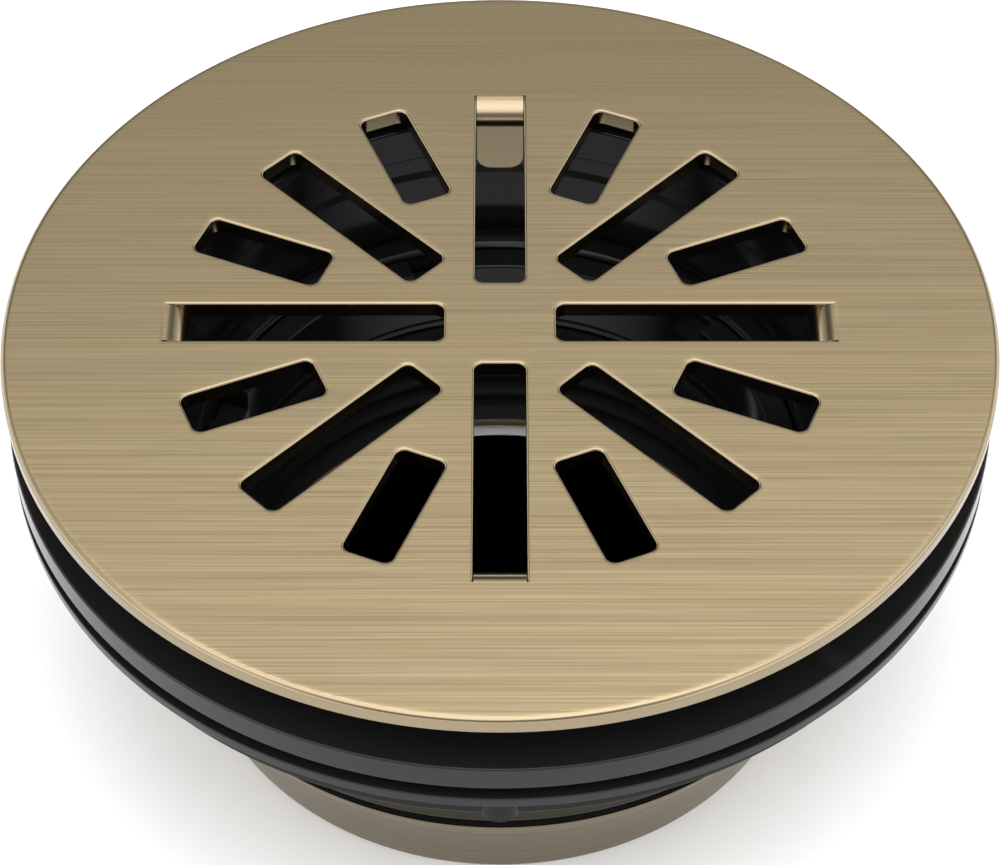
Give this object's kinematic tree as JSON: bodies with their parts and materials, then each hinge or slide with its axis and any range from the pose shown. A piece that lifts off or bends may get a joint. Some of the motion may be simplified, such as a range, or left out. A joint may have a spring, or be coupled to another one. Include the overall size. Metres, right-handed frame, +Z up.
{
  "type": "floor drain grate",
  "caption": "Round brushed gold grate with radial slots on a black shower drain body, with clamping nut, tail collar and pipe seal.",
  "frame": {"origin": "on the drain's axis, at the foot of the tail collar, the lowest face", "axes": "+Z up through the pipe and the grate; the four long slots lie along X and Y"},
  "size_m": [0.108, 0.108, 0.051],
  "materials": {
    "brushed_gold": "straight brushed champagne gold plating",
    "satin_gold": "satin champagne gold plating",
    "black_moulding": "glossy black moulded plastic",
    "rubber": "black moulded rubber"
  },
  "bodies": {
    "body": {"drain_body": "black_moulding", "floor_gasket": "rubber", "pipe_gasket": "rubber"},
    "friction_washer": {"friction_washer": "black_moulding"},
    "retaining_nut": {"retaining_nut": "black_moulding"},
    "riser_seal": {"riser_seal": "rubber"},
    "riser": {"riser": "black_moulding", "grate_cushion": "rubber"},
    "grate": {"grate_plate": "brushed_gold"},
    "riser_lock_ring": {"riser_lock_ring": "black_moulding"},
    "tail_lock_ring": {"tail_lock_ring": "satin_gold"},
    "joint_washer": {"joint_washer": "rubber"},
    "tail_collar": {"tail_collar": "satin_gold"},
    "slip_washer": {"slip_washer": "black_moulding"},
    "compression_nut": {"compression_nut": "black_moulding"}
  },
  "joints": [
    {"name": "riser_rise", "type": "slide", "parent": "body", "child": "riser_seal", "axis": [0, 0, 1], "range_m": [0, 0.008]},
    {"name": "riser_turn", "type": "hinge", "parent": "riser_seal", "child": "riser", "pos_m": [0, 0, 0.04], "axis": [0, 0, 1], "range_deg": [0, 722]},
    {"name": "grate_lift", "type": "slide", "parent": "riser", "child": "grate", "axis": [0, 0, 1], "range_m": [0, 0.03]},
    {"name": "riser_lock_ring_turn", "type": "hinge", "parent": "body", "child": "riser_lock_ring", "pos_m": [0, 0, 0.0438], "axis": [0, 0, 1], "range_deg": [0, 60]},
    {"name": "nut_travel", "type": "slide", "parent": "body", "child": "friction_washer", "axis": [0, 0, -1], "range_m": [0, 0.006]},
    {"name": "retaining_nut_turn", "type": "hinge", "parent": "friction_washer", "child": "retaining_nut", "pos_m": [0, 0, 0.034], "axis": [0, 0, -1], "range_deg": [0, 722]},
    {"name": "tail_lock_ring_turn", "type": "hinge", "parent": "body", "child": "tail_lock_ring", "pos_m": [0, 0, 0.019], "axis": [0, 0, 1], "range_deg": [0, 60]},
    {"name": "collar_travel", "type": "slide", "parent": "body", "child": "joint_washer", "axis": [0, 0, -1], "range_m": [0, 0.004]},
    {"name": "tail_collar_turn", "type": "hinge", "parent": "joint_washer", "child": "tail_collar", "pos_m": [0, 0, 0.007], "axis": [0, 0, -1], "range_deg": [0, 722]},
    {"name": "compression_travel", "type": "slide", "parent": "body", "child": "slip_washer", "axis": [0, 0, 1], "range_m": [0, 0.006]},
    {"name": "compression_nut_turn", "type": "hinge", "parent": "slip_washer", "child": "compression_nut", "pos_m": [0, 0, 0.024], "axis": [0, 0, 1], "range_deg": [0, 722]}
  ],
  "couplings": [
    {"joint": "riser_turn", "follows": "riser_rise", "rad_per_m": 1570.8},
    {"joint": "retaining_nut_turn", "follows": "nut_travel", "rad_per_m": 2094.4},
    {"joint": "tail_collar_turn", "follows": "collar_travel", "rad_per_m": 3141.6},
    {"joint": "compression_nut_turn", "follows": "compression_travel", "rad_per_m": 2094.4}
  ]
}
